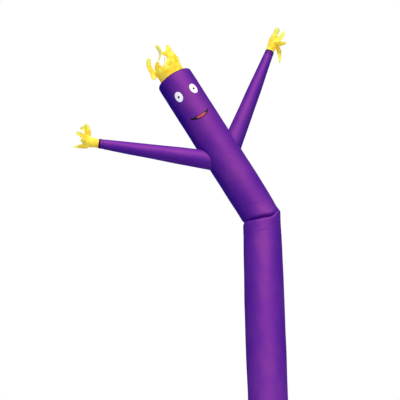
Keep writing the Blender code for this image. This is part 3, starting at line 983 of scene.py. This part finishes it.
def makeStrips(name, axes, kind, specs, material, node):
    print("strips:", name)
    edge = kind["band"][-1][1]
    half = degrees(kind["width"] / 2 / edge)
    columns = strip["columns"]
    turns = [spec[0] + half * (2 * i / columns - 1) for spec in specs for i in range(columns + 1)]
    first, last = kind["band"][0][0], kind["band"][-1][0]
    band = []
    for k in range(strip["bandRows"] + 1):
        along = first + (last - first) * k / strip["bandRows"]
        radius = float(np.interp(along, *zip(*kind["band"])))
        wave = kind["bandWave"] * max(k / strip["bandRows"] - 0.3, 0)
        band.append([axes.at(a, radius + wave * sin(radians(7 * a) + len(specs)), along) for a in turns])
    work = bmesh.new()
    layer = work.loops.layers.uv.new("cloth")
    rows = [[work.verts.new(p) for p in row] for row in band]

    def quad(low, high, i, j, u, v):
        # one face between two rows of points, from column i to j
        face = work.faces.new((low[i], low[j], high[j], high[i]))
        for loop, mark in zip(face.loops, ((u[0], v[0]), (u[1], v[0]), (u[1], v[1]), (u[0], v[1]))):
            loop[layer].uv = mark

    step = (last - first) / strip["bandRows"]
    for k in range(strip["bandRows"]):
        for i in range(len(turns)):
            j = (i + 1) % len(turns)
            across = radians(turns[i]) * edge, radians(turns[j] + 360 * (j < i)) * edge
            quad(rows[k], rows[k + 1], i, j, across, (k * step, (k + 1) * step))
    for number, spec in enumerate(specs):
        begin = number * (columns + 1)
        before = rows[-1][begin : begin + columns + 1]
        roots = [v.co.copy() for v in before]
        along = last - first
        for points in stripPoints(axes, spec, kind, roots, edge, 1.7 * number):
            after = [work.verts.new(p) for p in points]
            further = along + (after[columns // 2].co - before[columns // 2].co).length
            for i in range(columns):
                across = [radians(turns[begin + i + n]) * edge for n in (0, 1)]
                quad(before, after, i, i + 1, across, (along, further))
            before, along = after, further
    piece = makePiece(name, material, work)
    sewUp(piece, strip["thickness"], node, "yellow_cloth")


# Face: patches sewn to the head, measured down from its rim
face = {
    "azimuth": 76,
    "eyeSpread": 26.7,
    "eyeDrop": 0.293,
    "eyeSize": (0.098, 0.132),
    "pupilSize": (0.026, 0.026),
    "patch": 0.001,
    "lift": 0.0013,  # off the tube, clear of the soft creases under the patch
    "crown": 0.0004,
    "pupilRise": 0.0005,
    "ovalSides": 56,
    "ovalRings": 9,
    "mouthColumns": 72,
    "mouthRows": 8,
    "mouthSpread": 34,
    "mouthDrop": 0.589,
    "mouthTopSag": 0.026,
    "mouthBottomSag": 0.067,
    "mouthTip": 0.004,
    "mouthFullness": 0.8,
    "redSpan": (-0.42, 0.52),
    "redInset": 0.006,
}


def facePoint(azimuth, drop, lift):
    return wallPoint(azimuth, dancer["upperLength"] - drop, lift)


def ovalEdge(azimuth, drop, size, share, turn):
    sideways = degrees(size[0] / 2 * share * cos(radians(turn)) / dancer["tubeRadius"])
    down = size[1] / 2 * share * sin(radians(turn))
    return azimuth + sideways, drop + down


def makeOval(name, azimuth, drop, size, lift, material, node, slot):
    work = bmesh.new()
    layer = work.loops.layers.uv.new("cloth")
    sides, rings = face["ovalSides"], face["ovalRings"]

    def corner(share, turn):
        stand = lift + face["crown"] * (1 - share**6)
        return work.verts.new(facePoint(*ovalEdge(azimuth, drop, size, share, turn), stand))

    middle, before = corner(0, 0), None
    for k in range(1, rings + 1):
        ring = [corner((k / rings) ** 0.8, 360 * i / sides) for i in range(sides)]
        for i in range(sides):
            j = (i + 1) % sides
            work.faces.new((before[i], before[j], ring[j], ring[i]) if before else (middle, ring[j], ring[i]))
        before = ring
    for item in work.faces:
        for loop in item.loops:
            local = loop.vert.co - upper.origin
            loop[layer].uv = (local.dot(upper.out(azimuth + 90)), local.dot(upper.along))
    piece = makePiece(name, material, work)
    sewUp(piece, face["patch"], node, slot, inward=False)


def crescentEdges(x, inset=0.0, along=0.0):
    # the drop of the smile's upper and lower edge at x, from -1 to 1 over its width
    top = face["mouthDrop"] + face["mouthTopSag"] * (1 - x * x)
    bottom = face["mouthDrop"] + face["mouthBottomSag"] * max(1 - x * x, 0) ** face["mouthFullness"]
    roundEnd = sqrt(max(1 - along**4, 0)) if inset else 1
    reach = max(max((bottom - top) / 2 - inset, 0) * roundEnd, face["mouthTip"] / 2)
    middle = (top + bottom) / 2
    return middle - reach, middle + reach


def makeCrescent(name, span, inset, lift, material, node, slot):
    rows = face["mouthRows"]

    def edgesAt(share):
        x = span[0] + (span[1] - span[0]) * share
        return face["azimuth"] + x * face["mouthSpread"], *crescentEdges(x, inset, 2 * share - 1)

    edges = [edgesAt(i / face["mouthColumns"]) for i in range(face["mouthColumns"] + 1)]
    places = [[(a, top + (bottom - top) * j / rows) for a, top, bottom in edges] for j in range(rows, -1, -1)]
    points = np.array([asArray(facePoint(a, drop, lift) for a, drop in row) for row in places])
    uvs = np.array([[(radians(a) * dancer["tubeRadius"], -drop) for a, drop in row] for row in places])
    piece = clothGrid(name, points, uvs, material, wrap=False)
    sewUp(piece, face["patch"], node, slot, inward=False)
    wide = 2 * radians(face["mouthSpread"]) * dancer["tubeRadius"] * (span[1] - span[0]) / 2
    samples = [edgesAt(i / 40) for i in range(41)]
    tall = max(bottom for a, top, bottom in samples) - min(top for a, top, bottom in samples)
    area = sum(bottom - top for a, top, bottom in samples) / len(samples) * wide
    leastFill = 0.31  # a curved crescent fills little of its flat size, so that is kept within its area
    min(tall, area / wide / leastFill)


# Sewing threads
sewing = {
    "pitch": 0.0075,
    "length": 0.0052,
    "radius": 0.00055,
    "lift": 0.0002,
    "zigzagPitch": 0.0034,
    "zigzagWidth": 0.009,
}


def stitchShape():
    # one stitch: a slim bead of thread, modelled once and copied along every seam
    bpy.ops.object.select_all(action="DESELECT")
    bpy.ops.mesh.primitive_uv_sphere_add(segments=6, ring_count=4, radius=1, location=(0, 0, 0))
    bead = bpy.context.object
    bpy.ops.object.mode_set(mode="EDIT")
    bpy.ops.mesh.select_all(action="SELECT")
    bpy.ops.transform.rotate(value=pi / 2, orient_axis="Y", center_override=(0, 0, 0))
    bpy.ops.transform.resize(
        value=(sewing["length"] / 2, sewing["radius"] * 1.3, sewing["radius"]), center_override=(0, 0, 0)
    )
    bpy.ops.object.mode_set(mode="OBJECT")
    points = asArray(v.co for v in bead.data.vertices)
    faces = [list(f.vertices) for f in bead.data.polygons]
    bpy.data.objects.remove(bead, do_unlink=True)
    return points, faces


class Sewing:
    # gathers stitches and zigzags, and makes one piece of them
    def __init__(self, name, material):
        self.name, self.material = name, material
        self.points, self.faces = [], []
        self.beadPoints, self.beadFaces = stitchShape()

    def take(self, points, faces):
        base = len(self.points)
        self.points += [tuple(p) for p in points]
        self.faces += [[base + i for i in f] for f in faces]

    def row(self, points, normals, closed=True):
        # lockstitches on the cloth along a line of points
        if closed:
            points, normals = np.vstack([points, points[:1]]), np.vstack([normals, normals[:1]])
        length = runAlong(points)
        count = int(length[-1] / sewing["pitch"])
        near = 0.002  # the thread's way is read this far to either side

        def valueAt(distance, values):
            return np.array([np.interp(distance, length, values[:, i]) for i in range(3)])

        for k in range(count):
            here = length[-1] * (k + 0.5) / count
            along = valueAt(here + near, points) - valueAt(here - near, points)
            along = along / np.linalg.norm(along)
            out = valueAt(here, normals)
            out = out / np.linalg.norm(out)
            side = np.cross(out, along)
            spot = valueAt(here, points) + out * sewing["radius"] * 0.5
            self.take(spot + self.beadPoints @ np.array([along, side, out]), self.beadFaces)

    def zigzag(self, inner, outer, normals):
        # thread that crosses a patch's edge back and forth, over closed lines of points
        line = np.array([(inner if i % 2 else outer)[i] for i in range(len(inner))])
        line, sides = line + normals * sewing["radius"], 5
        ahead = np.roll(line, -1, axis=0) - np.roll(line, 1, axis=0)
        ahead /= np.linalg.norm(ahead, axis=1, keepdims=True)
        side = np.cross(normals, ahead)
        rings, faces = [], []
        for k in range(sides):
            angle = 2 * pi * k / sides
            rings.append(line + sewing["radius"] * (cos(angle) * side + sin(angle) * normals))
        for i in range(len(line)):
            here, there = i * sides, (i + 1) % len(line) * sides
            for k in range(sides):
                n = (k + 1) % sides
                faces.append([here + k, here + n, there + n, there + k])
        self.take(np.stack(rings, axis=1).reshape(-1, 3), faces)

    def edge(self, lines):
        # zigzag round a patch: lines on it and beside it, each of azimuth and drop, and their lifts
        inner, outer = (asArray(facePoint(a, d, rise) for a, d in marks) for marks, rise in lines)
        self.zigzag(inner, outer, asArray(upper.out(a) for a, d in lines[-1][0]))

    def finish(self, slot):
        piece = makePiece(self.name, self.material)
        piece.data.from_pydata(self.points, [], self.faces)
        piece.data.shade_smooth()
        makeActive(piece)
        bpy.ops.object.mode_set(mode="EDIT")
        bpy.ops.mesh.select_all(action="SELECT")
        bpy.ops.mesh.normals_make_consistent(inside=False)
        bpy.ops.object.mode_set(mode="OBJECT")
        assign(piece, None, slot)


def sewOval(thread, azimuth, drop, size):
    wide = sewing["zigzagWidth"] / 2
    around = pi * (size[0] + size[1]) / 2
    count = int(around / sewing["zigzagPitch"] / 2) * 2
    lines = []
    for grow, rise in ((-wide, face["lift"] + face["patch"]), (wide, sewing["lift"])):
        grown = (size[0] + 2 * grow, size[1] + 2 * grow)
        lines.append(([ovalEdge(azimuth, drop, grown, 1, 360 * i / count) for i in range(count)], rise))
    thread.edge(lines)


def sewCrescent(thread):
    wide = sewing["zigzagWidth"] / 2
    steps, radius = 110, dancer["tubeRadius"]
    there = [-1 + 2 * i / steps for i in range(steps + 1)]
    back = [-x for x in there]
    outline = [(x, crescentEdges(x)[1]) for x in there] + [(x, crescentEdges(x)[0]) for x in back]
    flat = np.array([(x * radians(face["mouthSpread"]) * radius, drop) for x, drop in outline])
    length = runAlong(flat)
    count = int(length[-1] / sewing["zigzagPitch"] / 2) * 2
    marks = np.linspace(0, length[-1], count, endpoint=False)
    flat = np.stack([np.interp(marks, length, flat[:, i]) for i in (0, 1)], axis=1)
    ahead = np.roll(flat, -2, axis=0) - np.roll(flat, 2, axis=0)
    ahead /= np.linalg.norm(ahead, axis=1, keepdims=True)
    outward = np.stack([-ahead[:, 1], ahead[:, 0]], axis=1)
    lines = []
    for grow, rise in ((-wide * 0.5, face["lift"] + face["patch"]), (wide, sewing["lift"])):
        grown = flat + outward * grow
        lines.append((list(zip(face["azimuth"] + np.degrees(grown[:, 0] / radius), grown[:, 1])), rise))
    thread.edge(lines)


print("materials: nylon, patches and threads")
top = dancer["waistHeight"] + dancer["upperLength"]
rimEnd = top + dancer["shoulderRadius"] * (radians(dancer["rimSeamAngle"]) - 1)
seamAndShadeMarks = {  # half width, how dark; the rim, crown and cuff-end bands are partly seam and partly painted shade
    "hem": (0.0012, 0.8),
    "rim": (0.011, 0.85),
    "crown": (0.006, 0.8),
    "cuffHem": (0.006, 0.25),
    "cuffEnd": (0.013, 0.9),
}
tubeLines = [(dancer["hemHeight"] * share, *seamAndShadeMarks["hem"]) for share in (0.12, 0.88)]
tubeLines.append((rimEnd, *seamAndShadeMarks["rim"]))
sleeveLines = [(-sleeve["cuffHem"], *seamAndShadeMarks["cuffHem"]), (-0.007, *seamAndShadeMarks["cuffEnd"])]
tubeNylon = purpleNylon("purpleTube", tubeLines, nylon["glossShare"])
crownNylon = purpleNylon("purpleCrown", [(0.0, *seamAndShadeMarks["crown"])], nylon["glossShare"])
sleeveNylon = purpleNylon("purpleSleeve", sleeveLines, nylon["sleeveGlossShare"])
hairNylon = yellowNylon("yellowHair", *hair["pale"])
handNylon = yellowNylon("yellowHands", *hands["pale"])
whitePatch, blackPatch, redPatch = (patchCloth(colour) for colour in ("white", "black", "red"))
purpleThread, darkThread = (threadFinish(name) for name in ("purple", "dark"))

tubePoints, tubeHeight, tubeTurns = makeTube(tubeNylon)
crownPoints = makeCrown(crownNylon)
armPoints = {name: makeArm(name, arm, sleeveNylon) for name, arm in arms.items()}

front = dancer["frontAzimuth"]
rim = upper.at(0, 0, dancer["upperLength"])
headAxes = Axes(rim, upper.out(front), upper.out(front + 90), upper.along)
makeStrips("hairStrips", headAxes, hair, hair["strips"], hairNylon, "hair")
for name, arm in arms.items():
    wrist = armAxes(arm, arm["reach"])
    makeStrips("hand" + name.capitalize(), wrist, hands, hands[name], handNylon, "hand_" + name)

print("face: eyes, pupils and smile")
onPatch = 2 * face["lift"] + face["patch"]
drop, eyeSize, pupilSize = face["eyeDrop"], face["eyeSize"], face["pupilSize"]
eyes = {"left": face["azimuth"] - face["eyeSpread"], "right": face["azimuth"] + face["eyeSpread"]}
for name, turn in eyes.items():
    side, pupilLift = name.capitalize(), onPatch + face["pupilRise"]
    makeOval("eye" + side, turn, drop, eyeSize, face["lift"], whitePatch, "eye_" + name, "white_cloth")
    makeOval("pupil" + side, turn, drop, pupilSize, pupilLift, blackPatch, "pupil_" + name, "black_cloth")
makeCrescent("mouthPatch", (-1, 1), 0, face["lift"], blackPatch, "mouth", "black_cloth")
makeCrescent("mouthRed", face["redSpan"], face["redInset"], onPatch, redPatch, "mouth_red", "red_cloth")

print("sewing: seams and the face's edges")
faceThread = Sewing("faceThread", darkThread)
for turn in eyes.values():
    sewOval(faceThread, turn, drop, eyeSize)
sewCrescent(faceThread)
faceThread.finish("black_cloth")

seams = Sewing("seamThread", purpleThread)
tubeNormals = gridNormals(tubePoints, True)
for mark in (0.005, 0.045, rimEnd - 0.005):  # the hem's two lines and the rim's
    ring = int(np.argmin(np.abs(tubeHeight[:, 0] - mark)))
    seams.row(tubePoints[ring], tubeNormals[ring])
# the back seam's two lines run between its middle and its edges, in degrees round the tube
seamColumns = [i for i, a in enumerate(tubeTurns) if 0.3 < abs(a - dancer["backSeamAzimuth"]) < 1.2]
for column in seamColumns:
    seams.row(tubePoints[2:-2, column], tubeNormals[2:-2, column], closed=False)
crownNormals = gridNormals(crownPoints, True)
for ring in (2, -2):
    seams.row(crownPoints[ring], crownNormals[ring])
for points in armPoints.values():
    normals = gridNormals(points, True)
    for ring in (5, -2, -sleeve["cuffRows"] + 1):  # the root, the cuff's end and its start
        seams.row(points[ring], normals[ring])
seams.finish("purple_cloth")

print("studio: floor and light")
studio = {
    "floor": 3.2,
    "floorColours": ((0.90, 0.90, 0.90), (0.86, 0.86, 0.87)),
    "suns": [(3.5, 38.0, 3.25), (180.0, 20.0, 0.60)],  # in front and behind: heading, height, strength
    "sunColour": (1.0, 0.95, 0.60),
    "sunSoftness": 16.0,
    "fill": (0.035, 0.060, 0.33),
    "fillStrength": 1.0,
}
bpy.ops.object.select_all(action="DESELECT")
bpy.ops.mesh.primitive_circle_add(vertices=96, radius=studio["floor"], fill_type="NGON", location=(0, 0, 0))
floor = bpy.context.object
floor.name = "floor"
paint = Finish("paleFloor", 0.9)
cloud = paint.noise(paint.objectPlace(), 0.6)
paint.feed("Base Color", paint.blend(cloud, *studio["floorColours"]))
floor.data.materials.append(paint.material)

# a sun's heading turns from the front, seen from above; its height is above the floor
for heading, height, strength in studio["suns"]:
    side, rise = radians(heading), radians(height)
    direction = Vector((sin(side) * cos(rise), -cos(side) * cos(rise), sin(rise)))
    bpy.ops.object.light_add(type="SUN", location=direction * 12)
    sun = bpy.context.object
    sun.rotation_euler = (-direction).to_track_quat("-Z", "Y").to_euler()
    sun.data.energy = strength
    sun.data.color = studio["sunColour"]
    sun.data.angle = radians(studio["sunSoftness"])

world = bpy.data.worlds.new("studio")
bpy.context.scene.world = world
world.use_nodes = True
sky = world.node_tree.nodes
fill = sky["Background"]
fill.inputs[0].default_value = (*studio["fill"], 1)
fill.inputs[1].default_value = studio["fillStrength"]
backdrop = sky.new("ShaderNodeBackground")
backdrop.inputs[0].default_value = (1, 1, 1, 1)
rays = sky.new("ShaderNodeLightPath")
mixed = sky.new("ShaderNodeMixShader")
feeds = (rays.outputs["Is Camera Ray"], fill.outputs[0], backdrop.outputs[0])
for socket, source in zip(mixed.inputs, feeds):
    world.node_tree.links.new(source, socket)
world.node_tree.links.new(mixed.outputs[0], sky["World Output"].inputs[0])
bpy.context.scene.view_settings.view_transform = "Standard"

bpy.context.view_layer.update()
